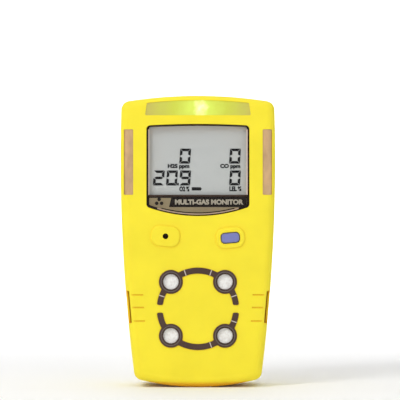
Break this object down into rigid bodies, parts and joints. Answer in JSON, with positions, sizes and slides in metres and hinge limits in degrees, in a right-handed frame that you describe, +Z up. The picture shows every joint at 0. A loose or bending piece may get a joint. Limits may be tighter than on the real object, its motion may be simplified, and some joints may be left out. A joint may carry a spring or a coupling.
{
  "type": "portable gas detector",
  "caption": "Hand-held multi-gas detector in a yellow case with a display, one push button, sensor ports in a ring, alarm light windows and a sprung clip on its back.",
  "frame": {"origin": "middle of the bottom of the bounding box", "axes": "+Z up along the case, the face with the display towards -Y, +X to the right seen from the front"},
  "size_m": [0.06, 0.0406, 0.1128],
  "materials": {
    "yellow_rubber": "soft matt rubber skin over plastic",
    "frosted_lens": "frosted translucent plastic",
    "clear_window": "clear gloss",
    "border_print": "dark print",
    "lcd": "grey display glass",
    "white_plastic": "white",
    "black_plastic": "black",
    "dark_trim": "very dark brown",
    "button_blue": "lavender blue silicone",
    "grey_rubber": "dark grey rubber",
    "white_filter": "white porous membrane",
    "foam": "black foam",
    "circuit_board": "green solder resist",
    "sensor_shell": "light grey plastic can",
    "steel": "brushed stainless steel",
    "screw_steel": "dark plated steel",
    "brass": "turned brass",
    "gold": "gold plated",
    "nickel": "plated can",
    "foil": "foil pouch",
    "led": "clear lamp",
    "red_wire": "red insulation",
    "black_wire": "black insulation",
    "infrared_lens": "dark red plastic",
    "label": "blank silver-grey label"
  },
  "bodies": {
    "case": {"alarm_leds": "led", "battery": "foil", "battery_black_lead": "black_wire", "battery_connector": "white_plastic", "battery_pad": "foam", "battery_red_lead": "red_wire", "board_chips": "black_plastic", "board_header": "black_plastic", "board_screws": "screw_steel", "button_seal": "grey_rubber", "case_screws": "screw_steel", "case_seal": "grey_rubber", "charging_contacts": "gold", "charging_socket": "black_plastic", "clip_base": "steel", "clip_pin": "steel", "clip_screws": "screw_steel", "clip_spring": "steel", "co_sensor": "sensor_shell", "display_board": "circuit_board", "display_mask": "border_print", "display_screws": "screw_steel", "display_window": "clear_window", "front_shell": "yellow_rubber", "h2s_sensor": "sensor_shell", "infrared_module": "black_plastic", "infrared_window": "infrared_lens", "lcd_backlight": "white_plastic", "lcd_connector": "grey_rubber", "lcd_frame": "black_plastic", "lcd_glass": "lcd", "left_light_window": "frosted_lens", "lel_sensor": "nickel", "lower_sensor_trim": "dark_trim", "main_board": "circuit_board", "motor_bracket": "steel", "motor_can": "nickel", "o2_sensor": "sensor_shell", "rear_label": "label", "rear_shell": "yellow_rubber", "right_light_window": "frosted_lens", "screw_inserts": "brass", "sensor_filters": "white_filter", "sensor_gasket": "grey_rubber", "sensor_sockets": "gold", "sounder": "black_plastic", "sounder_gasket": "foam", "sounder_membrane": "foam", "tact_switch": "black_plastic", "top_light_window": "frosted_lens", "upper_sensor_trim": "dark_trim", "window_gasket": "black_plastic"},
    "button": {"push_button": "button_blue", "switch_plunger": "white_plastic"},
    "jaw": {"clip_jaw": "steel"},
    "rotor": {"motor_shaft": "steel", "motor_weight": "nickel"}
  },
  "joints": [
    {"name": "button_press", "type": "slide", "parent": "case", "child": "button", "axis": [0, 1, 0], "range_m": [0, 0.0006], "stiffness_N_per_m": 1000, "springref_m": -0.0005, "deforming": ["button_seal"]},
    {"name": "clip_hinge", "type": "hinge", "parent": "case", "child": "jaw", "pos_m": [0, 0.014, 0.086], "axis": [1, 0, 0], "range_deg": [0, 25], "stiffness_Nm_per_rad": 0.3, "springref_deg": -22.92, "deforming": ["clip_spring"]},
    {"name": "motor_spin", "type": "hinge", "parent": "case", "child": "rotor", "pos_m": [0, -0.0046, 0.092], "axis": [1, 0, 0], "continuous": true}
  ]
}
